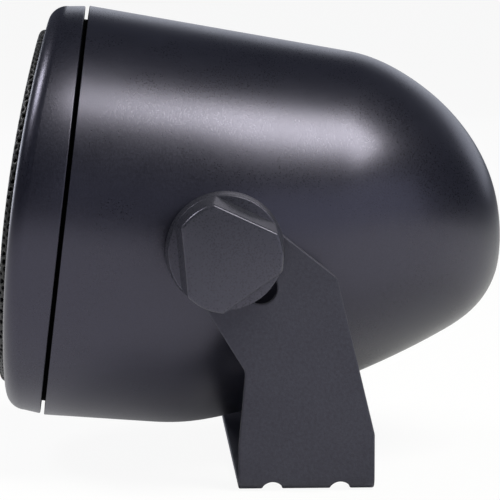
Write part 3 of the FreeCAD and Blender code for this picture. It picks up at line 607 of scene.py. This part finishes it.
bracketSet = {
    "sheet": 2.0, "bend": 4.0, "bendSteps": 10, "depth": 41.6, "headRadius": 14.5, "shoulderBack": 34.1,
    "shoulderDrop": 8.5, "legTop": 17.0, "elbowHeight": 36.6, "elbowInset": 2.0, "heelHeight": 14.0,
    "cornerRound": 4.0, "slotAngle": 47.0, "slotTravel": 16.0, "slotWidth": 9.8, "holeRadius": 3.25,
    "holeSpacing": 50.0, "baseSlotWidth": 5.8, "baseSlotSpacing": 20.8, "baseSlotInner": 44.0,
    "baseSlotRise": 2.3, "edgeRound": 0.5, "edgeTurns": (9, 81), "edgeSteps": 7, "headSteps": 40,
    "holeSteps": 40, "slotSteps": 16, "cornerSteps": 8, "cutReach": 0.0001, "weld": 0.015, "flatAngle": 0.3,
    "sharp": 14.0}


def foldLength(height):  # length along the blank's outside from the base's middle to this height
    s = bracketSet
    flat = armOuter - s["bend"]
    if height >= s["bend"]:
        return flat + s["bend"] * math.pi / 2 + height - s["bend"]
    return flat + s["bend"] * math.acos(1 - height / s["bend"])


def folded(depth, y, length):  # the place of a point of the blank once it is folded
    s = bracketSet
    flat = armOuter - s["bend"]
    reach = abs(length)
    turn = min(max(reach - flat, 0) / s["bend"], math.pi / 2)
    rise = max(reach - flat - s["bend"] * math.pi / 2, 0)
    x = min(reach, flat) + (s["bend"] - depth) * math.sin(turn)
    z = s["bend"] - (s["bend"] - depth) * math.cos(turn) + rise
    return math.copysign(x, length), y, z


def stadium(start, end, radius):  # outline of a slot with round ends
    steps = bracketSet["slotSteps"]
    away = math.degrees(math.atan2(end[1] - start[1], end[0] - start[0]))
    return arc(end, radius, away - 90, away + 90, steps) + arc(start, radius, away + 90, away + 270, steps)


def rounded(before, corner, after, radius):  # a corner turned as an arc
    back = (Vector(before) - Vector(corner)).normalized()
    ahead = (Vector(after) - Vector(corner)).normalized()
    half = back.angle(ahead) / 2
    centre = Vector(corner) + (back + ahead).normalized() * radius / math.sin(half)
    first = Vector(corner) + back * radius / math.tan(half) - centre
    last = Vector(corner) + ahead * radius / math.tan(half) - centre
    turn = first.angle_signed(last)
    start = math.degrees(math.atan2(first.y, first.x))
    return arc(centre, radius, start, start - math.degrees(turn), bracketSet["cornerSteps"])


def roundedRun(corners):  # all but the two ends of a run of corners, each turned as an arc
    points = []
    for before, corner, after in zip(corners, corners[1:], corners[2:]):
        points += rounded(before, corner, after, bracketSet["cornerRound"])
    return points


def blankOutline():  # (y, length along the blank), up the rear of one arm, round its head and down the front
    s = bracketSet
    half = s["depth"] / 2
    head = Vector((pivot.y / mm, foldLength(pivot.z / mm)))
    shoulder = head + Vector((s["shoulderBack"], -s["shoulderDrop"]))
    elbow = Vector((s["elbowInset"] - half, foldLength(s["elbowHeight"])))
    ends = []
    for corner, side in ((shoulder, 1), (elbow, -1)):
        away = corner - head
        ends.append(math.atan2(away.y, away.x) + side * math.acos(s["headRadius"] / away.length))
    upper, lower = ends
    while lower < upper:
        lower += 2 * math.pi
    headArc = arc(head, s["headRadius"], math.degrees(upper), math.degrees(lower), s["headSteps"])
    rear = [Vector((half, 0)), Vector((half, foldLength(s["legTop"]))), shoulder, Vector(headArc[0])]
    front = [Vector(headArc[-1]), elbow, Vector((-half, foldLength(s["heelHeight"]))), Vector((-half, 0))]
    return roundedRun(rear) + headArc + roundedRun(front)


def shifted(loop, inset):  # a closed outline moved to its left
    points = np.array(loop)
    ways = np.roll(points, -1, axis=0) - points
    ways /= np.linalg.norm(ways, axis=1)[:, None]
    means = ways + np.roll(ways, 1, axis=0)
    means /= np.linalg.norm(means, axis=1)[:, None]
    return points + inset * np.column_stack((-means[:, 1], means[:, 0]))


def blankLoops():  # the outline and every opening, each with the sheet on its left
    s = bracketSet
    head = (pivot.y / mm, foldLength(pivot.z / mm))
    slant = math.radians(s["slotAngle"])
    slotEnd = (head[0] + s["slotTravel"] * math.cos(slant), head[1] - s["slotTravel"] * math.sin(slant))
    hole = arc((0, s["holeSpacing"] / 2), s["holeRadius"], 0, 360, s["holeSteps"])[:-1]
    openings = [stadium(head, slotEnd, s["slotWidth"] / 2), hole]
    radius = s["baseSlotWidth"] / 2
    inner = s["baseSlotInner"] + radius
    outer = foldLength(s["baseSlotRise"]) - radius
    for y in (-s["baseSlotSpacing"] / 2, s["baseSlotSpacing"] / 2):
        openings.append(stadium((y, inner), (y, outer), radius))
    outline = blankOutline()
    loops = [outline + [(y, -length) for y, length in reversed(outline)]]
    for opening in openings:
        loops += [opening[::-1], [(y, -length) for y, length in opening]]
    return loops


def edgeLayers():  # inset and depth from one face of the sheet round to the other
    s = bracketSet
    turns = np.radians(np.linspace(*s["edgeTurns"], s["edgeSteps"]))
    insets = (np.sin(turns[-1]) - np.sin(turns)) / (np.sin(turns[-1]) - np.sin(turns[0])) * s["edgeRound"]
    depths = (np.cos(turns[0]) - np.cos(turns)) / (np.cos(turns[0]) - np.cos(turns[-1])) * s["edgeRound"]
    front = list(zip(insets, depths))
    return front + [(inset, s["sheet"] - depth) for inset, depth in reversed(front)]


def makeBracket():
    s = bracketSet
    bm = bmesh.new()
    faceEdges = [[], []]
    for loop in blankLoops():
        rings = []
        for inset, depth in edgeLayers():
            rings.append(wireLoop(bm, [(depth, y, length) for y, length in shifted(loop, inset)]))
        for first, last in zip(rings, rings[1:]):
            bmesh.ops.bridge_loops(bm, edges=first + last)
        faceEdges[0] += rings[0]
        faceEdges[1] += rings[-1]
    for edges in faceEdges:
        bmesh.ops.triangle_fill(bm, use_beauty=True, use_dissolve=False, edges=edges)
    flat = armOuter - s["bend"]
    for step in range(s["bendSteps"] + 1):  # lines to fold along
        cut = flat + s["bend"] * math.pi / 2 * step / s["bendSteps"]
        for side in (-1, 1):
            bmesh.ops.bisect_plane(bm, geom=everything(bm), plane_co=(0, 0, side * cut), plane_no=(0, 0, 1),
                                   dist=s["cutReach"])
    bmesh.ops.remove_doubles(bm, verts=bm.verts[:], dist=s["weld"])
    for vert in bm.verts:
        vert.co = folded(*vert.co)
    joinFlats(bm, s["flatAngle"])
    bmesh.ops.recalc_face_normals(bm, faces=bm.faces[:])
    keepPiece("bracketSheet", bm, "bracket", bracketPlace, s["sharp"])


makeBracket()


# Knobs: a drafted disc and a grip with three flats

knobSet = {
    "discHeight": 6.8, "baseRadius": 18.1, "shelfRadius": 17.35, "faceRadius": 16.6, "flatRatio": 0.777,
    "flatDraft": 1.4, "flatCount": 3, "flatTurn": 18.0, "edgeRound": 1.0, "shelfRound": 0.4,
    "cornerRound": 1.1, "gripSink": 0.05, "gripInset": 0.02, "segments": 144, "roundSteps": 5,
    "shelfSteps": 3, "sharp": 30.0}


def gripOutline(radius, flat):  # (y, z) round a circle with flats, its corners turned
    s = knobSet
    core = radius - s["cornerRound"]
    half = math.acos((flat - s["cornerRound"]) / core)
    period = 2 * math.pi / s["flatCount"]
    firstFlat = math.pi / 2 - math.radians(s["flatTurn"])
    points = []
    for index in range(s["segments"]):
        turn = 2 * math.pi * (index + 0.5) / s["segments"]
        off = (turn - firstFlat + period / 2) % period - period / 2  # from the middle of the nearest flat
        hold = turn - off + math.copysign(half, off) if abs(off) < half else turn
        points.append((core * math.cos(hold) + s["cornerRound"] * math.cos(turn),
                       core * math.sin(hold) + s["cornerRound"] * math.sin(turn)))
    return points


def makeKnob(name, node, side):
    s = knobSet
    seat, face = (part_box("knob_right")[end].x / mm for end in (0, 1))
    shelf = seat + s["discHeight"]
    flat = s["flatRatio"] * s["faceRadius"]
    bm = bmesh.new()
    place = Matrix.Translation(((seat + shelf) / 2, 0, 0)) @ Matrix.Rotation(math.pi / 2, 4, "Y")
    bmesh.ops.create_cone(bm, cap_ends=True, segments=s["segments"], radius1=s["baseRadius"],
                          radius2=s["shelfRadius"], depth=s["discHeight"], matrix=place)
    rims = [edge for edge in bm.edges if abs(edge.verts[0].co.x - edge.verts[1].co.x) < weld]
    bevelSharp(bm, rims, s["shelfRound"], s["shelfSteps"])
    rings = [(shelf - s["gripSink"], s["shelfRadius"] - s["gripInset"], flat + s["flatDraft"])]
    for turn in np.linspace(0, math.pi / 2, s["roundSteps"] + 1):
        inset = s["edgeRound"] * (1 - math.cos(turn))
        rings.append((face - s["edgeRound"] * (1 - math.sin(turn)), s["faceRadius"] - inset, flat - inset))
    loops = [wireLoop(bm, [(x, y, z) for y, z in gripOutline(radius, across)]) for x, radius, across in rings]
    for first, last in zip(loops, loops[1:]):
        bmesh.ops.bridge_loops(bm, edges=first + last)
    for loop in (loops[0], loops[-1]):
        bmesh.ops.contextual_create(bm, geom=loop)
    bmesh.ops.recalc_face_normals(bm, faces=bm.faces[:])
    if side < 0:
        bmesh.ops.scale(bm, vec=(-1, 1, 1), verts=bm.verts[:])
        bmesh.ops.reverse_faces(bm, faces=bm.faces[:])
    keepPiece(name, bm, node, cabinetPlace, s["sharp"])


makeKnob("rightKnob", "knob_right", 1)
makeKnob("leftKnob", "knob_left", -1)


# The other pieces keep their solids' form, with softened edges

dressSet = {"flatAngle": 0.2, "edgeSteps": 2, "edgeAngle": 35.0}
edgeWidths = {
    "slot_bush_right": 0.15, "slot_bush_left": 0.15, "knob_washer_right": 0.15, "knob_washer_left": 0.15,
    "knob_stud_right": 0.4, "knob_stud_left": 0.4, "pivot_inserts": 0.3, "mouth_gasket": 0.4,
    "bezel_screws": 0.3, "driver_basket": 0.2, "driver_gasket": 0.15, "driver_screws": 0.25, "magnet": 0.6,
    "top_plate": 0.3, "pole_plate": 0.4, "voice_coil": 0.05, "cone": 0.1, "dust_cap": 0.08,
    "terminal_block": 0.25, "terminal_lever_red": 0.3, "terminal_lever_black": 0.3, "terminal_contacts": 0.1,
    "terminal_screws": 0.2, "lead_wires": 0.1, "damping_wadding": 2.0}


def solidMesh(node):  # the solid's mesh, with its flat faces whole again
    bm = bmesh.new()
    bm.from_mesh(frame["nodes"][node].data)
    bmesh.ops.remove_doubles(bm, verts=bm.verts[:], dist=weld * mm)
    joinFlats(bm, dressSet["flatAngle"])
    return bm


def dressed(node, width):
    words = node.split("_")
    name = words[0] + "".join(word.title() for word in words[1:]) + "Piece"
    piece = keepPiece(name, solidMesh(node), node, Matrix.Identity(4))
    softEdges(piece, width, dressSet["edgeSteps"], dressSet["edgeAngle"])


for node, width in edgeWidths.items():
    dressed(node, width)


# The surround and the spider, cut into wedges along radii and left off the bodies

flexSet = {"nodes": ("surround", "spider"), "wedges": 16, "lip": 2.2, "cutReach": 0.0001}


def makeFlexing(node):  # the pivot lies on the cabinet's axis, so every wedge is cut about it
    s = flexSet
    whole = solidMesh(node)
    half = math.pi / s["wedges"]
    for index in range(s["wedges"]):
        out = Matrix.Rotation(2 * half * index, 3, frontWay) @ Vector((1, 0, 0))
        bm = whole.copy()
        for side in (-1, 1):
            away = Matrix.Rotation(side * (half + math.pi / 2), 3, frontWay) @ out
            cut = bmesh.ops.bisect_plane(bm, geom=everything(bm), plane_co=pivot, plane_no=away,
                                         dist=s["cutReach"] * mm, clear_outer=True)["geom_cut"]
            bmesh.ops.holes_fill(bm, edges=edgesOf(cut), sides=0)
        wedge = keepPiece(node + "Wedge" + str(index), bm, node, Matrix.Identity(4), rides=False)
        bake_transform(wedge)
    whole.free()


for node in flexSet["nodes"]:
    makeFlexing(node)


# Floor, light and camera

pureWhite = (1, 1, 1, 1)
coolLight = (0.92, 0.96, 1.06)
stageSet = {
    "floorSize": 14.0, "floorCuts": 4, "floorDrop": 0.0003, "floorColour": (0.92, 0.92, 0.92, 1),
    # glossGlow and its fade are painted light and painted shade in the floor's reflections
    "floorGlow": 0.93, "glossGlow": (0.6, 0.1), "glossShadeFade": (-0.08, -0.015),
    "world": (0.05, 0.055, 0.072, 1)}
panelSet = {
    "keyStrip": {"place": (0.516, 0.57, 1.161), "aim": (0, 0, 0.08), "way": (0.146, 0.696, -0.505),
                 "length": 0.86, "width": 0.46, "radiance": 14.2, "colour": (1.0, 1.0, 0.88)},
    "rimStrip": {"place": (-0.18, -0.91, 1.13), "aim": (0, 0, 0.08), "way": (0.9, -0.33, -0.3),
                 "length": 0.48, "width": 0.42, "radiance": 13.0, "colour": (1, 1, 1)},
    "backPanel": {"place": (-1.7, 1.0, 0.62), "aim": (0, 1.0, 0.62), "way": (0, 1, 0),
                  "length": 2.2, "width": 0.76, "radiance": 1.0, "colour": coolLight},
    "leftPanel": {"place": (-1.55, -1.15, 0.22), "aim": (0, 0, 0.22), "way": (-0.6, 0.8, 0),
                  "length": 1.0, "width": 0.44, "radiance": 2.5, "colour": coolLight},
    "frontPanel": {"place": (1.34, 1.2, 0.42), "aim": (0, 0, 0.42), "way": (-0.67, 0.74, 0),
                   "length": 2.1, "width": 0.95, "radiance": 0.8, "colour": coolLight}}


def makeFloor():
    bm = bmesh.new()
    cuts = stageSet["floorCuts"]
    bmesh.ops.create_grid(bm, x_segments=cuts, y_segments=cuts, size=stageSet["floorSize"])
    mesh = bpy.data.meshes.new("studioFloor")
    bm.to_mesh(mesh)
    bm.free()
    floor = bpy.data.objects.new("studioFloor", mesh)
    floor.location.z = -stageSet["floorDrop"]
    bpy.context.scene.collection.objects.link(floor)
    material = bpy.data.materials.new("studioWhite")
    material.use_nodes = True
    tree = material.node_tree
    tree.nodes.clear()
    start = Wire(tree)
    seen = start.node("ShaderNodeLightPath", {}, {}, "Is Camera Ray")
    glossy = start.node("ShaderNodeLightPath", {}, {}, "Is Glossy Ray")
    through = start.node("ShaderNodeLightPath", {}, {}, "Is Transmission Ray")
    matte = start.node("ShaderNodeBsdfDiffuse", {}, {"Color": stageSet["floorColour"]})
    glow = start.node("ShaderNodeEmission", {}, {"Color": pureWhite, "Strength": 1.0})
    place = start.node("ShaderNodeTexCoord", {}, {}, "Object")
    ahead = start.node("ShaderNodeSeparateXYZ", {}, {"Vector": place}, "Y")
    sheen = ahead.ramp(*stageSet["glossGlow"], *stageSet["glossShadeFade"])  # the floor glows in reflections as painted light, strong at the front and fading towards the rear as painted shade under the speaker
    share = (seen + through) * stageSet["floorGlow"] + glossy * sheen
    mixed = start.node("ShaderNodeMixShader", {}, {0: share, 1: matte, 2: glow})
    output = tree.nodes.new("ShaderNodeOutputMaterial")
    plug(output, {"Surface": mixed})
    mesh.materials.append(material)


def makeWorld():
    world = bpy.data.worlds.new("studioWorld")
    world.use_nodes = True
    start = Wire(world.node_tree)
    seen = start.node("ShaderNodeLightPath", {}, {}, "Is Camera Ray")
    dim = start.node("ShaderNodeBackground", {}, {"Color": stageSet["world"], "Strength": 1.0})
    white = start.node("ShaderNodeBackground", {}, {"Color": pureWhite, "Strength": 1.0})
    mixed = start.node("ShaderNodeMixShader", {}, {0: seen, 1: dim, 2: white})
    plug(world.node_tree.nodes["World Output"], {"Surface": mixed})
    bpy.context.scene.world = world


def makePanel(name, place, aim, way, length, width, radiance, colour):  # a soft box, its length along way
    lamp = bpy.data.lights.new(name, "AREA")
    lamp.shape = "RECTANGLE"
    lamp.size = length
    lamp.size_y = width
    lamp.energy = radiance * math.pi * length * width
    lamp.color = colour
    panel = bpy.data.objects.new(name, lamp)
    back = (Vector(place) - Vector(aim)).normalized()
    along = (Vector(way) - Vector(way).project(back)).normalized()
    turn = Matrix((along, back.cross(along), back)).transposed().to_4x4()
    panel.matrix_world = Matrix.Translation(place) @ turn
    panel.visible_camera = False
    bpy.context.scene.collection.objects.link(panel)


cameraSet = {"place": (0.9693, -0.0601, 0.1738), "turn": 2.7125, "down": 6.315, "lens": 216.0, "sensor": 36.0,
             "clipEnd": 100.0}


def makeCamera():
    turn = math.radians(cameraSet["turn"])
    down = math.radians(cameraSet["down"])
    ahead = Vector((-math.cos(turn) * math.cos(down), math.sin(turn) * math.cos(down), -math.sin(down)))
    right = Vector((math.sin(turn), math.cos(turn), 0))
    up = right.cross(ahead)
    data = bpy.data.cameras.new("photoCamera")
    data.lens = cameraSet["lens"]
    data.sensor_width = cameraSet["sensor"]
    data.sensor_fit = "HORIZONTAL"
    data.clip_end = cameraSet["clipEnd"]
    camera = bpy.data.objects.new("photoCamera", data)
    facing = Matrix((right, up, -ahead)).transposed().to_4x4()
    camera.matrix_world = Matrix.Translation(cameraSet["place"]) @ facing
    bpy.context.scene.collection.objects.link(camera)
    bpy.context.scene.camera = camera


makeFloor()
makeWorld()
for name, values in panelSet.items():
    makePanel(name, **values)
makeCamera()
bpy.context.scene.view_settings.view_transform = "Standard"
print("stage set")
